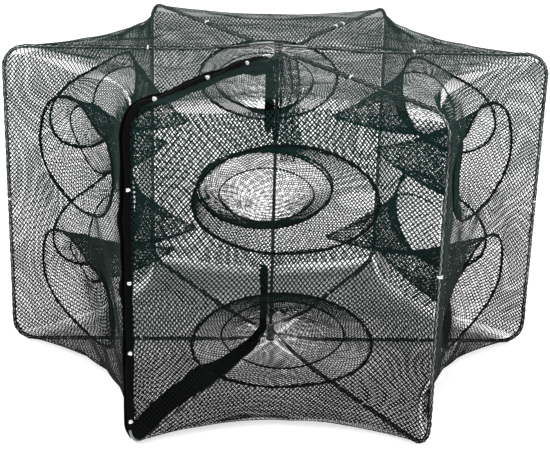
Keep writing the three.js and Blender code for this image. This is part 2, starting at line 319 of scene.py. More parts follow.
def add_floor():
    """A wide pale sweep, just below the trap's lowest wires."""
    half = 6.0
    corners = [(-half, -half, 0), (half, -half, 0), (half, half, 0), (-half, half, 0)]
    mesh = bpy.data.meshes.new("floor")
    mesh.from_pydata(corners, [], [(0, 1, 2, 3)])
    floor = bpy.data.objects.new("floor", mesh)
    floor.location.z = -0.0005
    bpy.context.collection.objects.link(floor)
    floor.data.materials.append(floor_material())


# ---------------------------------------------------------------- materials


def new_material(name):
    material = bpy.data.materials.new(name)
    material.use_nodes = True
    nodes = material.node_tree.nodes
    return material, nodes, material.node_tree.links, nodes["Principled BSDF"]


def add_noise(nodes, links, scale, detail=3, roughness=0.5):
    place = nodes.new("ShaderNodeTexCoord")
    noise = nodes.new("ShaderNodeTexNoise")
    noise.inputs["Scale"].default_value = scale
    noise.inputs["Detail"].default_value = detail
    noise.inputs["Roughness"].default_value = roughness
    links.new(place.outputs["Object"], noise.inputs["Vector"])
    return noise


def add_ramp(nodes, links, value, stops):
    ramp = nodes.new("ShaderNodeValToRGB")
    elements = ramp.color_ramp.elements
    while len(elements) < len(stops):
        elements.new(0.5)
    for element, (position, color) in zip(elements, stops):
        element.position = position
        element.color = (*color, 1)
    links.new(value, ramp.inputs["Fac"])
    return ramp


def grey(value):
    return (value, value, value)


def add_bump(nodes, links, shader, height, strength, distance):
    bump = nodes.new("ShaderNodeBump")
    bump.inputs["Strength"].default_value = strength
    bump.inputs["Distance"].default_value = distance
    links.new(height, bump.inputs["Height"])
    links.new(bump.outputs["Normal"], shader.inputs["Normal"])


def floor_material():
    """Matt near-white that glows a little, so that the netting's shadow stays light."""
    material, nodes, links, shader = new_material("floor_white")
    noise = add_noise(nodes, links, 3)
    ramp = add_ramp(nodes, links, noise.outputs["Fac"], [(0.3, grey(0.60)), (0.7, grey(0.63))])
    links.new(ramp.outputs["Color"], shader.inputs["Base Color"])
    links.new(ramp.outputs["Color"], shader.inputs["Emission Color"])
    shader.inputs["Emission Strength"].default_value = FLOOR_GLOW
    shader.inputs["Roughness"].default_value = 0.9
    return material


def twine_material(name, shaded_low_color, lit_high_color):
    """Twisted plastic twine, blotchy, with fine fibres, greener and lighter towards the top of the trap:
    painted shade darkens it towards the bottom.
    """
    material, nodes, links, shader = new_material(name)
    place = nodes.new("ShaderNodeTexCoord")
    split = nodes.new("ShaderNodeSeparateXYZ")
    links.new(place.outputs["Object"], split.inputs["Vector"])
    # Painted shade: the colour runs from the near-black low colour at the floor to the lit, greener high
    # colour at the top, as light falls on the trap.
    height = nodes.new("ShaderNodeMapRange")
    height.inputs["From Max"].default_value = TRAP_HEIGHT
    links.new(split.outputs["Z"], height.inputs["Value"])
    ramp = add_ramp(nodes, links, height.outputs["Result"], [(0.15, shaded_low_color), (0.85, lit_high_color)])
    blotch = add_noise(nodes, links, 60, 4)
    tint = nodes.new("ShaderNodeMix")
    tint.data_type = "RGBA"
    tint.blend_type = "MULTIPLY"
    tint.inputs["Factor"].default_value = 0.6
    links.new(ramp.outputs["Color"], tint.inputs["A"])
    shade = add_ramp(nodes, links, blotch.outputs["Fac"], [(0.3, (0.45, 0.5, 0.5)), (0.7, grey(1.3))])
    links.new(shade.outputs["Color"], tint.inputs["B"])
    links.new(tint.outputs["Result"], shader.inputs["Base Color"])
    fibre = add_noise(nodes, links, 2500, 2)
    add_bump(nodes, links, shader, fibre.outputs["Fac"], 0.5, 0.0003)
    rough = add_ramp(nodes, links, fibre.outputs["Fac"], [(0.3, grey(0.6)), (0.7, grey(0.85))])
    links.new(rough.outputs["Color"], shader.inputs["Roughness"])
    shader.inputs["Specular IOR Level"].default_value = 0.08
    return material


def wire_material():
    """Bright spring steel with faint drawing marks and dull patches."""
    material, nodes, links, shader = new_material("spring_steel")
    dull = add_noise(nodes, links, 25, 4)
    dark, bright = (0.10, 0.11, 0.11), (0.34, 0.36, 0.35)
    ramp = add_ramp(nodes, links, dull.outputs["Fac"], [(0.35, dark), (0.65, bright)])
    links.new(ramp.outputs["Color"], shader.inputs["Base Color"])
    shader.inputs["Metallic"].default_value = 1
    marks = add_noise(nodes, links, 900, 2)
    rough = add_ramp(nodes, links, marks.outputs["Fac"], [(0.3, grey(0.22)), (0.7, grey(0.42))])
    links.new(rough.outputs["Color"], shader.inputs["Roughness"])
    add_bump(nodes, links, shader, marks.outputs["Fac"], 0.15, 0.0002)
    return material


def tape_material():
    """Black napped cloth, a little lighter where the nap stands up."""
    material, nodes, links, shader = new_material("black_tape")
    nap = add_noise(nodes, links, 500, 5, 0.7)
    ground, raised = (0.0004, 0.0004, 0.0005), (0.0035, 0.0032, 0.0032)
    ramp = add_ramp(nodes, links, nap.outputs["Fac"], [(0.4, ground), (0.75, raised)])
    links.new(ramp.outputs["Color"], shader.inputs["Base Color"])
    shader.inputs["Roughness"].default_value = 0.9
    shader.inputs["Specular IOR Level"].default_value = 0.06
    add_bump(nodes, links, shader, nap.outputs["Fac"], 0.8, 0.0006)
    return material


def tie_material():
    """White plastic cord with fine fibres."""
    material, nodes, links, shader = new_material("white_tie")
    noise = add_noise(nodes, links, 900, 3)
    ramp = add_ramp(nodes, links, noise.outputs["Fac"], [(0.3, (0.62, 0.63, 0.60)), (0.7, (0.9, 0.9, 0.88))])
    links.new(ramp.outputs["Color"], shader.inputs["Base Color"])
    shader.inputs["Roughness"].default_value = 0.6
    add_bump(nodes, links, shader, noise.outputs["Fac"], 0.5, 0.0003)
    return material


def rod_material():
    """Black-coated rod, with the coat rubbed in places."""
    material, nodes, links, shader = new_material("coated_rod")
    noise = add_noise(nodes, links, 120, 5, 0.6)
    coat, rubbed = (0.006, 0.010, 0.009), (0.04, 0.05, 0.045)
    ramp = add_ramp(nodes, links, noise.outputs["Fac"], [(0.5, coat), (0.8, rubbed)])
    links.new(ramp.outputs["Color"], shader.inputs["Base Color"])
    shader.inputs["Roughness"].default_value = 0.45
    add_bump(nodes, links, shader, noise.outputs["Fac"], 0.2, 0.0003)
    return material


# ---------------------------------------------------------------- mesh building


def unit(vectors):
    length = np.linalg.norm(vectors, axis=1, keepdims=True)
    return vectors / np.maximum(length, 1e-12)


def make_object(name, points, quads, material):
    """A mesh object from arrays of points and four-cornered faces; nothing reaches below the floor."""
    points = np.array(points, float)
    points[:, 2] = np.maximum(points[:, 2], 0)
    mesh = bpy.data.meshes.new(name)
    mesh.vertices.add(len(points))
    mesh.vertices.foreach_set("co", np.ascontiguousarray(points, np.float32).ravel())
    mesh.loops.add(quads.size)
    mesh.loops.foreach_set("vertex_index", np.ascontiguousarray(quads, np.int32).ravel())
    mesh.polygons.add(len(quads))
    mesh.polygons.foreach_set("loop_start", np.arange(0, quads.size, 4, dtype=np.int32))
    mesh.update(calc_edges=True)
    mesh.polygons.foreach_set("use_smooth", np.ones(len(quads), bool))
    mesh.materials.append(material)
    obj = bpy.data.objects.new(name, mesh)
    bpy.context.collection.objects.link(obj)
    return obj


def line_tangents(points, is_last):
    """Direction along each strand at each of its points; strands follow one another in points."""
    step = np.zeros_like(points)
    step[:-1] = points[1:] - points[:-1]
    step[is_last] = 0
    before = np.zeros_like(points)
    before[1:] = step[:-1]
    return unit(unit(step) + unit(before))


def tube_rings(points, tangents, radius, sides, reference, flatness=1.0):
    """Rings of points round each point of a line, flattened along the reference direction."""
    side = unit(np.cross(tangents, reference))
    up = flatness * np.cross(tangents, side)
    angle = 2 * math.pi * np.arange(sides) / sides + math.pi / 2
    radius = np.broadcast_to(np.asarray(radius, float), (len(points), sides))[:, :, None]
    turn = np.cos(angle)[None, :, None] * side[:, None] + np.sin(angle)[None, :, None] * up[:, None]
    return points[:, None] + radius * turn


def ring_quads(starts, sides):
    """Quads from each ring in starts to the ring after it."""
    corner = np.arange(sides)
    following = (corner + 1) % sides
    first = starts[:, None] * sides
    quads = np.stack(
        [first + corner, first + following, first + sides + following, first + sides + corner], axis=2
    )
    return quads.reshape(-1, 4)


def strand_object(name, points, is_last, radius, material, reference, flatness=1.0):
    """Netting: every strand an open three-sided tube."""
    sides = 3
    tangents = line_tangents(points, is_last)
    rings = tube_rings(points, tangents, radius, sides, reference, flatness)
    quads = ring_quads(np.flatnonzero(~is_last), sides)
    return make_object(name, rings.reshape(-1, 3), quads, material)


def capped_tube(name, path, radius, material, sides=12, reference=(0, 1, 0)):
    """One solid bar along a path; the ends close on their centres."""
    path = np.asarray(path, float)
    is_last = np.zeros(len(path), bool)
    is_last[-1] = True
    tangents = line_tangents(path, is_last)
    rings = tube_rings(path, tangents, radius, sides, np.asarray(reference, float))
    tips = [np.repeat(path[:1], sides, axis=0)[None], rings, np.repeat(path[-1:], sides, axis=0)[None]]
    rings = np.concatenate(tips)
    quads = ring_quads(np.arange(len(rings) - 1), sides)
    return weld(make_object(name, rings.reshape(-1, 3), quads, material))


def weld(obj):
    """Joins points that coincide, so that end caps close."""
    work = bmesh.new()
    work.from_mesh(obj.data)
    bmesh.ops.remove_doubles(work, verts=work.verts, dist=1e-7)
    work.to_mesh(obj.data)
    work.free()
    return obj


def loop_object(name, path, radius, material, sides=10, reference=(1, 0, 0)):
    """A closed cord along a loop of points."""
    path = np.asarray(path, float)
    tangents = unit(np.roll(path, -1, axis=0) - np.roll(path, 1, axis=0))
    rings = tube_rings(path, tangents, radius, sides, np.asarray(reference, float))
    quads = ring_quads(np.arange(len(path)), sides) % (len(path) * sides)
    return make_object(name, rings.reshape(-1, 3), quads, material)


def turn_about_axis(points, azimuth):
    """Local sector or page points, with x outwards, turned to their azimuth in degrees."""
    angle = math.radians(azimuth)
    turned = np.array(points, float)
    turned[:, 0] = points[:, 0] * math.cos(angle) - points[:, 1] * math.sin(angle)
    turned[:, 1] = points[:, 0] * math.sin(angle) + points[:, 1] * math.cos(angle)
    return turned


def join_sector(obj):
    """Bakes the piece's placement into its mesh and reads its points; nothing more is done with them."""
    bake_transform(obj)
    count = len(obj.data.vertices)
    points = np.empty(count * 3, np.float32)
    obj.data.vertices.foreach_get("co", points)
    points = points.reshape(-1, 3)


# ---------------------------------------------------------------- wire pages


def smooth_step(low, high, value):
    """0 before low and 1 beyond high, with a smooth passage between them."""
    share = np.clip((value - low) / (high - low), 0, 1)
    return share * share * (3 - 2 * share)


def arm_rise(radius, arm_offset, eye_offset):
    """Height of an arm above its level at the rim, so that folded arms pass each other."""
    towards_arm = smooth_step(EYE_REGION, ARM_CLIMB_END, radius)
    towards_rim = np.clip((radius - ARM_CLIMB_END) / ARM_FALL, 0, 1)
    return eye_offset * (1 - towards_arm) + arm_offset * towards_arm * (1 - towards_rim)


def page_offsets(page):
    """How far a page's arms and eyes lie from the rim's own levels, so that pages stack when folded."""
    _, arm_level, eye_level = PAGES[page]
    return {
        "top_arm": (arm_level - 1) * ARM_STEP,
        "top_eye": (eye_level - LAST_EYE_LEVEL / 2) * EYE_PITCH,
        "floor_arm": (LAST_ARM_LEVEL - arm_level) * ARM_STEP,
        "floor_eye": LOWEST_EYE_Z - FLOOR_ARM_Z + (LAST_EYE_LEVEL - eye_level) * EYE_PITCH,
    }


def page_path(page, inset, start, spacing=0.006):
    """Points round a page in its own plane (x outwards), inset towards the page's middle."""
    offsets = page_offsets(page)
    radii = np.linspace(start, CORNER_START, int((CORNER_START - start) / spacing))
    top_z = TOP_ARM_Z - inset + arm_rise(radii, offsets["top_arm"], offsets["top_eye"])
    floor_z = FLOOR_ARM_Z + inset + arm_rise(radii, offsets["floor_arm"], offsets["floor_eye"])
    bend = CORNER_RADIUS - inset
    angles = np.linspace(0, math.pi / 2, 14)[1:-1]
    low_centre, high_centre = FLOOR_ARM_Z + CORNER_RADIUS, TOP_ARM_Z - CORNER_RADIUS
    side = np.arange(low_centre, high_centre + spacing / 2, spacing)[::-1]
    top_corner = [(CORNER_START + bend * math.sin(a), high_centre + bend * math.cos(a)) for a in angles]
    floor_corner = [(CORNER_START + bend * math.cos(a), low_centre - bend * math.sin(a)) for a in angles]
    points = list(zip(radii, top_z)) + top_corner
    points += [(CORNER_START + bend, z) for z in side] + floor_corner
    points += list(zip(radii[::-1], floor_z[::-1]))
    flat = np.array(points)
    return np.column_stack([flat[:, 0], np.zeros(len(flat)), flat[:, 1]])


def path_length(path):
    """Distance along a line at each of its points."""
    return np.concatenate([[0], np.cumsum(np.linalg.norm(np.diff(path, axis=0), axis=1))])


def add_page(page, steel):
    """The bent wire with an eye at each end round the centre rod."""
    azimuth = PAGES[page][0]
    path = page_path(page, 0, EYE_RADIUS + 0.004)
    pieces = []
    eye_steps = np.radians(np.arange(12, 349, 12))
    for end, order in ((path[0], 1), (path[-1], -1)):
        eye = np.column_stack([
            EYE_RADIUS * np.cos(eye_steps), EYE_RADIUS * np.sin(eye_steps), np.full(len(eye_steps), end[2])
        ])
        pieces.append(eye[::-1] if order == 1 else eye)
    line = np.concatenate([pieces[0], path, pieces[1]])
    upwards = (0.001, 0.002, 1)
    wire = capped_tube(f"wire_{page}", turn_about_axis(line, azimuth), WIRE_RADIUS, steel, 12, upwards)
    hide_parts(f"frame_{page}")
    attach(wire, f"page_{page}")


def add_sleeve(page, twine):
    """Netting rolled round the page's wire: strands that wind both ways along it."""
    azimuth = PAGES[page][0]
    path = page_path(page, 0, SLEEVE_START, spacing=0.004)
    looseness = smooth_step(SLEEVE_START, SLEEVE_LOOSE, path[:, 0])
    is_end = np.zeros(len(path), bool)
    is_end[-1] = True
    tangent = line_tangents(path, is_end)
    across = np.array([0.0, 1.0, 0.0])
    lift = np.cross(tangent, across)
    along = path_length(path)
    strands = []
    for way in (1, -1):
        for strand in range(SLEEVE_STRANDS):
            phase = 2 * math.pi * strand / SLEEVE_STRANDS + 0.3 * way
            wobble = SLEEVE_WOBBLE * (1 + np.sin(along * 61 + strand * 2.1))
            reach = SLEEVE_REACH + wobble * looseness
            angle = phase + way * along / SLEEVE_TURN
            strands.append(path + reach[:, None] * (
                np.cos(angle)[:, None] * across + np.sin(angle)[:, None] * lift
            ))
    points = turn_about_axis(np.concatenate(strands), azimuth)
    is_last = np.tile(is_end, len(strands))
    is_low = smooth_step(0.12, 0.03, path[:, 2]) * smooth_step(0.09, 0.14, path[:, 0])
    radius = np.tile(SLEEVE_STRAND_RADIUS + LOW_SLEEVE_EXTRA * is_low, len(strands))[:, None]
    sleeve = strand_object(f"sleeve_{page}", points, is_last, radius, twine, SKEW)
    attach(sleeve, f"page_{page}")


# ---------------------------------------------------------------- netting


def outline_radius(z):
    """Radius of a page's outline at a height on its side."""
    beyond = np.maximum(np.abs(z - TRAP_HEIGHT / 2) - (TRAP_HEIGHT / 2 - WIRE_RADIUS - CORNER_RADIUS), 0)
    return CORNER_START + np.sqrt(np.maximum(CORNER_RADIUS**2 - beyond**2, 0))


def corner_drop(radius):
    """How far a page's rounded corner has fallen from the arm's level at a radius."""
    beyond = np.clip(radius - CORNER_START, 0, CORNER_RADIUS)
    return CORNER_RADIUS - np.sqrt(CORNER_RADIUS**2 - beyond**2)


def wall_sag(z):
    """How far a side net hangs in between its pages: least at mid height."""
    from_middle = np.abs(2 * z / TRAP_HEIGHT - 1)
    return WALL_SAG + (EDGE_SAG - WALL_SAG) * from_middle**3


def ripple(first, second, seed, reach):
    """A gentle unevenness, different for every net."""
    return reach * (
        np.sin(first * 31 + seed * 1.7) * np.cos(second * 23 - seed * 2.3)
        + 0.5 * np.sin(first * 67 - seed) * np.sin(second * 53 + seed * 0.7)
    )


def side_point(y, z, seed=0, reach=0.0):
    """A point of a side net, across its sector and up; x points outwards."""
    radius = outline_radius(z)
    half = radius * HALF_SIN - NET_GAP
    across = np.clip(y / half, -1, 1)
    slack = 1 - across**2
    x = radius * HALF_COS - wall_sag(z) * slack + ripple(y, z, seed, reach) * slack
    return np.column_stack([x, y, z])


def diamond_runs(low, high, inside, seed, bar=BAR):
    """Two families of diagonal lines over a flat panel, cut where the panel ends.

    Returns flat points, and a flag on each run's last point."""
    width = 2 * bar * math.cos(DIAMOND_ANGLE)
    slope = 1 / math.tan(DIAMOND_ANGLE)
    rows = np.arange(low[1], high[1], ROW_STEP)
    lean = (high[1] - low[1]) * slope
    points, flags = [], []
    for way in (1, -1):
        first = low[0] - (lean if way == 1 else 0)
        last = high[0] + (0 if way == 1 else lean)
        starts = np.arange(first, last, width) + 0.0007 * (seed % 5)
        a = starts[:, None] + way * (rows - low[1])[None] * slope
        b = np.broadcast_to(rows, a.shape)
        warped_a, warped_b = warp(a, b, seed)
        mask = np.pad(inside(warped_a, warped_b), ((0, 0), (1, 1)))
        change = np.diff(mask.astype(np.int8), axis=1)
        begin_line, begin = np.nonzero(change == 1)
        _, end = np.nonzero(change == -1)
        for line, start, stop in zip(begin_line, begin, end - 1):
            length = (stop - start) * ROW_STEP / math.sin(DIAMOND_ANGLE)
            if length < SHORTEST_RUN:
                continue
            count = max(2, int(round(length / SEGMENT)) + 1)
            pick = np.round(np.linspace(start, stop, count)).astype(int)
            points.append(np.column_stack([warped_a[line, pick], warped_b[line, pick]]))
            flag = np.zeros(count, bool)
            flag[-1] = True
            flags.append(flag)
    return np.concatenate(points), np.concatenate(flags)


def warp(a, b, seed):
    """Shifts the mesh within its panel, as hand-sewn netting lies."""
    return (
        a + 0.006 * np.sin(b * 19 + seed) + 0.003 * np.sin(a * 37 + b * 11 + seed * 2),
        b + 0.006 * np.sin(a * 17 - seed * 1.3) + 0.003 * np.cos(b * 41 - a * 13 + seed),
    )


def mouth_reach(angles, sector):
    """How far a mouth's edge lies out, as a share of its plain oval: one upper corner is drawn out."""
    pull = MOUTH_PULLS.get(sector, 0)
    corner = math.pi / 2 - math.copysign(MOUTH_CORNER_ANGLE, pull)
    flat_part = math.pi / 2 + math.copysign(MOUTH_FLAT_ANGLE, pull)

    def near(middle):
        apart = (angles - middle + math.pi) % (2 * math.pi) - math.pi
        return np.exp(-((apart / MOUTH_CORNER_SPREAD) ** 2))

    change = MOUTH_CORNER_REACH * near(corner) - MOUTH_FLAT_REACH * near(flat_part)
    return 1 + abs(pull) * change


def in_mouth(y, z, centre, sector):
    across, up = y / (MOUTH_WIDTH / 2), (z - centre) / (MOUTH_HEIGHT / 2)
    return np.hypot(across, up) < mouth_reach(np.arctan2(up, across), sector)


def side_inside(y, z, sector):
    inside = (z > SIDE_LOW_Z) & (z < SIDE_HIGH_Z)
    inside &= np.abs(y) < outline_radius(z) * HALF_SIN - NET_GAP
    for centre in MOUTHS.values():
        inside &= ~in_mouth(y, z, centre, sector)
    return inside


def flat_inside(y, x):
    radius = x / HALF_COS
    return (radius > FLAT_START) & (radius < FLAT_END) & (np.abs(y) < radius * HALF_SIN - NET_GAP)


def flat_point(y, x, is_top, seed):
    """A point of a top or bottom net, whose outer edge hangs in between the pages."""
    radius = x / HALF_COS
    half = np.maximum(radius * HALF_SIN - NET_GAP, 1e-4)
    slack = 1 - np.clip(y / half, -1, 1) ** 2
    sag = EDGE_SAG * (radius / RIM_RADIUS) ** 2
    drop = corner_drop(radius)
    lean = ripple(x, y, seed, 0.002) * slack
    z = TOP_ARM_Z - drop - np.abs(lean) if is_top else FLOOR_ARM_Z + drop + np.abs(lean)
    return np.column_stack([x - sag * slack, y, z])


def finish_net(obj, node):
    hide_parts(node)
    join_sector(obj)


def add_side_net(sector, twine, seed):
    width = 2 * (RIM_RADIUS * HALF_SIN - NET_GAP)
    flat, is_last = diamond_runs(
        (-width / 2, SIDE_LOW_Z), (width / 2, SIDE_HIGH_Z), lambda y, z: side_inside(y, z, sector), seed
    )
    points = turn_about_axis(side_point(flat[:, 0], flat[:, 1], seed, 0.004), SECTORS[sector][0])
    outwards = turn_about_axis(np.array([[1.0, 0.0, 0.0]]), SECTORS[sector][0])[0]
    net = strand_object(
        f"side_net_mesh_{sector}", points, is_last, STRAND_RADIUS, twine, outwards, STRAND_FLATNESS
    )
    finish_net(net, f"side_net_{sector}")


def add_flat_net(sector, twine, is_top, seed):
    label = "top" if is_top else "bottom"
    width = 2 * (FLAT_END * HALF_SIN - NET_GAP)
    length = FLAT_END * HALF_COS
    flat, is_last = diamond_runs((-width / 2, 0), (width / 2, length), flat_inside, seed)
    points = turn_about_axis(flat_point(flat[:, 0], flat[:, 1], is_top, seed), SECTORS[sector][0])
    net = strand_object(
        f"{label}_net_mesh_{sector}", points, is_last, FLAT_NET_STRAND_RADIUS, twine, UPWARDS, STRAND_FLATNESS
    )
    finish_net(net, f"{label}_net_{sector}")


def mouth_line(sector, centre, angles, shrink=0.0, inwards=0.0):
    """Points on a mouth's edge, in the side net's own curve."""
    reach = mouth_reach(angles, sector)
    y = (MOUTH_WIDTH / 2 * reach - shrink) * np.cos(angles)
    z = centre + (MOUTH_HEIGHT / 2 * reach - shrink) * np.sin(angles)
    points = side_point(y, z)
    points[:, 0] -= inwards
    return points


def funnel_point(sector, theta, depth, centre, hang, seed):
    """The funnel's skin: mouth at depth 0, smaller ring at RING_DEPTH, gathered throat at 1."""
    to_ring = np.clip(depth / RING_DEPTH, 0, 1)[:, None]
    to_throat = np.clip((depth - RING_DEPTH) / (1 - RING_DEPTH), 0, 1)
    pucker = 1 + FUNNEL_PUCKER * np.sin(theta * 7 + seed) * np.sin(math.pi * to_throat)
    mouth = mouth_line(sector, centre, theta, 0.001)
    ring_side = hang["ring_half"][0] * np.cos(theta)
    ring = np.column_stack([
        hang["ring_at"] + hang["ring_lean"] * ring_side + 0.004 * np.sin(theta * 3 + seed),
        hang["ring_shift"][0] + ring_side * pucker,
        centre + hang["ring_shift"][1] + hang["ring_half"][1] * np.sin(theta) * pucker,
    ])
    throat = np.column_stack([
        np.full(len(theta), hang["throat_at"]),
        hang["throat_shift"][0] + THROAT_HALF_WIDTH * np.cos(theta),
        centre + hang["throat_shift"][1] + THROAT_HALF_HEIGHT * np.sin(theta),
    ])
    line = mouth + (ring - mouth) * to_ring + (throat - ring) * to_throat[:, None]
    line[:, 2] -= FUNNEL_SAG * np.sin(math.pi * to_throat)
    return line


def add_funnel(sector, tier, twine, hang, seed):
    """Two families of strands that wind opposite ways; only some of them reach the throat."""
    depths, thetas, ends = [], [], []
    for strand in range(FUNNEL_STRANDS):
        reach = FUNNEL_REACHES[strand % len(FUNNEL_REACHES)]
        steps = round(FUNNEL_STEPS * reach) + 1
        depth = np.linspace(0, reach, steps)
        for way in (1, -1):
            depths.append(depth)
            thetas.append(2 * math.pi * strand / FUNNEL_STRANDS + way * FUNNEL_TWIST * depth)
            ends.append(np.arange(steps) == steps - 1)
    depth_all = np.concatenate(depths)
    local = funnel_point(sector, np.concatenate(thetas), depth_all, MOUTHS[tier], hang, seed)
    radius = FUNNEL_STRAND_RADIUS * (1 - FUNNEL_TAPER * depth_all)
    net = strand_object(
        f"funnel_mesh_{tier}_{sector}", turn_about_axis(local, SECTORS[sector][0]),
        np.concatenate(ends), radius[:, None], twine, np.array([0.13, 0.21, 0.97]),
    )
    finish_net(net, f"funnel_{tier}_{sector}")


def bound_cord_radius(count, sides, radius):
    """A cord wound with netting: its section turns along it."""
    along = np.arange(count)[:, None]
    angle = 2 * math.pi * np.arange(sides)[None] / sides
    return radius * (1 + 0.16 * np.sin(3 * angle + along * 0.9) + 0.07 * np.sin(along * 2.3 + 5 * angle))


def add_mouth_ring(sector, tier, cord, hang, seed):
    """The cord round the mouth, and the thinner one round the funnel's inner ring."""
    angles = 2 * math.pi * np.arange(CORD_STEPS) / CORD_STEPS
    middle = SECTORS[sector][0]
    outwards = turn_about_axis(np.array([[1.0, 0.0, 0.0]]), middle)[0]
    path = turn_about_axis(mouth_line(sector, MOUTHS[tier], angles), middle)
    thickness = bound_cord_radius(CORD_STEPS, 10, MOUTH_CORD_RADIUS)
    ring = loop_object(f"mouth_cord_{tier}_{sector}", path, thickness, cord, 10, outwards)
    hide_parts(f"mouth_ring_{tier}_{sector}")
    join_sector(ring)
    local = funnel_point(sector, angles, np.full(CORD_STEPS, RING_DEPTH), MOUTHS[tier], hang, seed)
    inner_path = turn_about_axis(local, middle)
    thickness = bound_cord_radius(CORD_STEPS, 8, INNER_CORD_RADIUS)
    inner = loop_object(f"inner_cord_{tier}_{sector}", inner_path, thickness, cord, 8, outwards)
    join_sector(inner)


def add_mouth_binding(sector, tier, twine, seed):
    """Loose turns of netting bunched along a mouth's cord."""
    angles = np.linspace(0, 2 * math.pi, BINDING_STEPS)
    strands = []
    for turn in range(BINDING_TURNS):
        long_wave = np.sin(angles * (5 + turn % 4) + turn * 1.9 + seed)
        short_wave = np.sin(angles * (23 + 3 * (turn % 5)) + turn * 2.7)
        shrink = BINDING_SHRINK + BINDING_LONG_WAVE * long_wave + BINDING_SHORT_WAVE * short_wave
        lift = BINDING_LIFT * np.cos(angles * (9 + turn) + turn * 1.3)
        strands.append(mouth_line(sector, MOUTHS[tier], angles, shrink, lift))
    end_flag = np.zeros(BINDING_STEPS, bool)
    end_flag[-1] = True
    points = turn_about_axis(np.concatenate(strands), SECTORS[sector][0])
    is_last = np.tile(end_flag, BINDING_TURNS)
    binding = strand_object(f"mouth_binding_{tier}_{sector}", points, is_last, BINDING_RADIUS, twine, SKEW)
    join_sector(binding)


# ---------------------------------------------------------------- closing band


def band_path():
    """The closing band's line: down beside the rod, out along the page, round it and back in."""
    around = page_path("front_left", BAND_INSET, BAND_LEG_RADIUS, spacing=BAND_STEP)
    fall = np.arange(TAPE_LEG, 0.003, -BAND_STEP)
    first, last = around[0], around[-1]
    upper = np.column_stack([np.full(len(fall), first[0]), 0 * fall, first[2] - fall])
    lower = np.column_stack([np.full(len(fall), last[0]), 0 * fall, last[2] + fall[::-1]])
    return np.concatenate([upper, around, lower])


def hump(value, middle, half_span):
    """1 at the middle, falling smoothly to 0 a half span away."""
    return 1 - smooth_step(0, half_span, np.abs(value - middle))


def add_band(name, body, node, is_hook, tape, seed):
    """One half of the black closing band: cloth bunched round the front left page's wire."""
    path = band_path()
    radius, height = path[:, 0], path[:, 2]
    along = path_length(path)
    is_last = np.zeros(len(path), bool)
    is_last[-1] = True
    page_normal = np.array([0.0, 1.0, 0.0])
    inwards = np.cross(page_normal, line_tangents(path, is_last))

    off_hub = smooth_step(0.06, 0.15, radius)
    on_leg = 1 - smooth_step(BAND_LEG_RADIUS, BAND_LEG_RADIUS + 0.012, radius)
    on_top = smooth_step(0.51, 0.54, height) * smooth_step(0.13, 0.20, radius)
    on_floor = smooth_step(0.05, 0.02, height) * smooth_step(0.05, 0.16, radius)
    wide_floor = on_floor * smooth_step(0.16, 0.26, radius) * (1 - smooth_step(0.38, 0.46, radius))
    low_rim = smooth_step(0.34, 0.26, height) * smooth_step(0.44, 0.46, radius) * (1 - on_floor)
    near_hub = smooth_step(0.45, 0.53, height) * (1 - smooth_step(0.07, 0.13, radius)) * (1 - on_leg)
    bulge = sum(hump(height, middle, half_span) for middle, half_span in BULGE_HEIGHTS)
    bulge = bulge * smooth_step(0.44, 0.46, radius)

    half_width = BAND_HALF_WIDTH + LEG_WIDTH * on_leg + TOP_WIDTH * on_top + LOW_RIM_WIDTH * low_rim
    half_width += FLOOR_WIDTH * on_floor + MID_FLOOR_WIDTH * wide_floor
    half_width += BULGE_WIDTH * bulge + HUB_WIDTH * near_hub
    waves = LONG_WAVE_WIDTH * np.sin(along * 34 + seed) + SHORT_WAVE_WIDTH * np.sin(along * 71 + 2 * seed)
    half_width += (1 + 0.9 * wide_floor) * waves
    tip = np.minimum(1, np.minimum(along, along[-1] - along) / BAND_TIP)
    half_width *= np.sqrt(np.clip(tip, 0.05, 1))
    drift = FLOOR_DRIFT * on_floor + MID_FLOOR_DRIFT * wide_floor
    drift += HUB_DRIFT * near_hub + LOW_RIM_DRIFT * low_rim
    drift += WAVE_DRIFT * np.sin(along * 41 + seed * 1.4)
    if is_hook:
        sway = 0.0004 * on_leg
        thick = HOOK_THICKNESS + 0.0008 * on_leg + 0.0024 * off_hub - 0.0012 * low_rim
    else:
        sway = LOOP_OFFSET - 0.0006 * on_leg - 0.0040 * off_hub + 0.0020 * low_rim - 0.0030 * bulge
        thick = LOOP_THICKNESS + 0.0006 * on_leg + 0.0006 * off_hub + 0.0030 * bulge
    section = 2 * math.pi * np.arange(BAND_SIDES) / BAND_SIDES
    flattened = np.sign(np.cos(section)) * np.abs(np.cos(section)) ** 0.7
    crease = 1 - CREASE_DEPTH * (1 + np.sin(4 * section[None] + along[:, None] * 45 + seed)) / 2
    in_plane = half_width[:, None] * flattened[None] + drift[:, None]
    off_plane = sway[:, None] + thick[:, None] * np.sin(section)[None] * crease
    rings = path[:, None] + inwards[:, None] * in_plane[:, :, None] + page_normal * off_plane[:, :, None]
    tips = [ring.mean(axis=1, keepdims=True).repeat(BAND_SIDES, axis=1) for ring in (rings[:1], rings[-1:])]
    rings = np.concatenate([tips[0], rings, tips[1]])
    points = turn_about_axis(rings.reshape(-1, 3), PAGES["front_left"][0])
    band = weld(make_object(name, points, ring_quads(np.arange(len(rings) - 1), BAND_SIDES), tape))
    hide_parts(node)
    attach(band, body)


# ---------------------------------------------------------------- ties


def knot_points(centre, direction, reach, seed):
    """A small lumpy loop of cord round a bar, as a closed line."""
    direction = np.asarray(direction, float) / np.linalg.norm(direction)
    helper = np.array([0.0, 0.0, 1.0]) if abs(direction[2]) < 0.8 else np.array([1.0, 0.0, 0.0])
    first = np.cross(direction, helper)
    first /= np.linalg.norm(first)
    second = np.cross(direction, first)
    angles = 2 * math.pi * np.arange(TIE_STEPS) / TIE_STEPS
    line = np.cos(2 * angles)[:, None] * first + np.sin(2 * angles)[:, None] * second
    line = line * (reach * (1 + 0.12 * np.sin(3 * angles + seed)))[:, None]
    return centre + line + direction * (0.0014 * np.sin(angles + seed))[:, None]


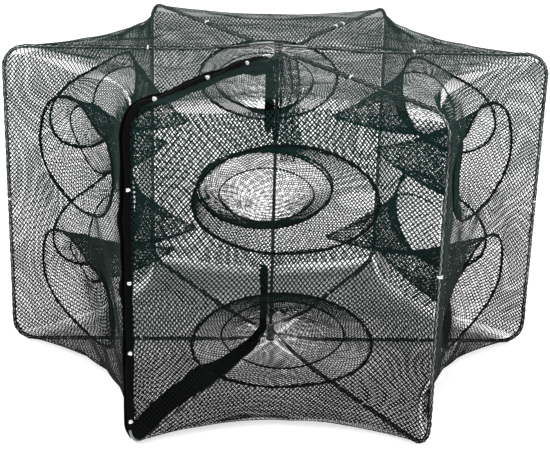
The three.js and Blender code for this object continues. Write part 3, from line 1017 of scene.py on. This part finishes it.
# Ties on each page: metres along the top arm (radius), up the rim (height) and along the bottom arm
PAGE_TIES = {
    "front_left": {"top": (0.12, 0.25, 0.405), "rim": (0.052, 0.17, 0.287, 0.435), "floor": (0.12, 0.39)},
    "front_right": {"top": (0.22,), "rim": (0.30,), "floor": (0.30,)},
    "right": {"top": (0.237,), "rim": (0.282,), "floor": (0.28,)},
    "back_right": {"top": (0.232, 0.262), "rim": (0.25,), "floor": (0.25,)},
    "back_left": {"top": (0.25,), "rim": (0.28,), "floor": (0.27,)},
    "left": {"top": (0.225,), "rim": (0.275,), "floor": (0.24,)},
}


def add_page_ties(page, material):
    """White ties that hold the netting, or on the front left page the band, to the wire."""
    azimuth = PAGES[page][0]
    offsets = page_offsets(page)
    on_band = page == "front_left"
    reach = BAND_TIE_REACH if on_band else TIE_REACH
    outset, lateral = (BAND_TIE_OUTSET, BAND_TIE_LATERAL) if on_band else (0, 0)
    places = []
    for radius in PAGE_TIES[page]["top"]:
        z = TOP_ARM_Z + float(arm_rise(radius, offsets["top_arm"], offsets["top_eye"]))
        places.append(((radius, lateral, z + outset), (1, 0, 0)))
    for height in PAGE_TIES[page]["rim"]:
        places.append(((RIM_RADIUS + outset, lateral, height), (0, 0, 1)))
    for radius in PAGE_TIES[page]["floor"]:
        z = FLOOR_ARM_Z + float(arm_rise(radius, offsets["floor_arm"], offsets["floor_eye"]))
        places.append(((radius, lateral, z + outset), (1, 0, 0)))
    for index, (centre, direction) in enumerate(places):
        spot = turn_about_axis(np.array([centre], float), azimuth)[0]
        way = turn_about_axis(np.array([direction], float), azimuth)[0]
        path = knot_points(spot, way, reach, index + azimuth)
        tie = loop_object(f"tie_{page}_{index}", path, TIE_CORD_RADIUS, material, 8, way)
        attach(tie, f"page_{page}")


# ---------------------------------------------------------------- the whole trap


def add_hub(rod_finish, twine):
    """The rod and its cap, which show as they are in the CAD, and the netting gathered on them."""
    for name in ("centre_rod", "rod_cap"):
        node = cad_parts[name]
        node.data.materials.clear()
        node.data.materials.append(rod_finish)
    add_axis_gather(twine)


def add_axis_strip(twine):
    """A strip of netting that hangs crumpled beside the rod, under the hub."""
    def inside(across, up):
        return (across > 0) & (across < STRIP_WIDTH) & (up > 0) & (up < STRIP_HEIGHT)

    flat, is_last = diamond_runs((0, 0), (STRIP_WIDTH, STRIP_HEIGHT), inside, 3)
    across, up = flat[:, 0], flat[:, 1]
    radius = 0.008 + 0.42 * across + 0.003 * np.sin(up * 60)
    azimuth = np.radians(14 + 11 * np.sin(across * 190 + 1.5 * np.sin(up * 30)))
    height = TOP_ARM_Z - STRIP_DROP - STRIP_HEIGHT + up
    points = np.column_stack([radius * np.cos(azimuth), radius * np.sin(azimuth), height])
    facing = np.array([0.1, 1.0, 0.2])
    strip = strand_object("axis_strip", points, is_last, FUNNEL_STRAND_RADIUS, twine, facing)
    join_sector(strip)


def add_axis_gather(twine):
    """Netting drawn together round the top of the rod."""
    fall = np.linspace(0, GATHER_LENGTH, GATHER_STEPS)
    narrowing = GATHER_RADIUS - GATHER_NARROWING * smooth_step(GATHER_LENGTH * 7 / 15, GATHER_LENGTH, fall)
    height = TOP_ARM_Z - GATHER_DROP - fall
    strands = []
    for strand in range(GATHER_STRANDS):
        phase = 2 * math.pi * strand / GATHER_STRANDS
        reach = narrowing * (1 + 0.2 * math.sin(strand * 2.7))
        angle = phase + 0.7 * np.sin(fall * 40 + strand)
        strands.append(np.column_stack([reach * np.cos(angle), reach * np.sin(angle), height]))
    end_flag = np.zeros(GATHER_STEPS, bool)
    end_flag[-1] = True
    is_last = np.tile(end_flag, GATHER_STRANDS)
    facing = np.array([1.0, 0.1, 0.0])
    gather = strand_object(
        "axis_gather", np.concatenate(strands), is_last, GATHER_STRAND_RADIUS, twine, facing
    )
    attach(gather, "page_back_right")


add_camera()
add_studio()
add_floor()
steel = wire_material()
# Each twine's first colour is painted shade for the bottom of the trap, and its second is the lit colour at
# the top.
net_twine = twine_material("net_twine", (0.001, 0.002, 0.002), (0.003, 0.021, 0.017))
cord_twine = twine_material("cord_twine", (0.001, 0.0015, 0.0015), (0.0012, 0.004, 0.0032))
tape = tape_material()
white_tie = tie_material()
add_hub(rod_material(), cord_twine)
for page_name in PAGES:
    add_page(page_name, steel)
    if page_name != "front_left":
        add_sleeve(page_name, net_twine)
    add_page_ties(page_name, white_tie)
for number, sector_name in enumerate(SECTORS):
    add_side_net(sector_name, net_twine, number)
    add_flat_net(sector_name, net_twine, True, number + 10)
    add_flat_net(sector_name, net_twine, False, number + 20)
    for tier_name in MOUTHS:
        tier_seed = number + (7 if tier_name == "upper" else 0)
        hang = USUAL_FUNNEL | ODD_FUNNELS.get((sector_name, tier_name), {})
        add_funnel(sector_name, tier_name, net_twine, hang, tier_seed)
        add_mouth_ring(sector_name, tier_name, cord_twine, hang, tier_seed)
        add_mouth_binding(sector_name, tier_name, cord_twine, tier_seed)
add_axis_strip(net_twine)
add_band("band_hook", "page_front_left", "closing_tape_hook", True, tape, 1)
add_band("band_loop", "free_edge", "closing_tape_loop", False, tape, 2)
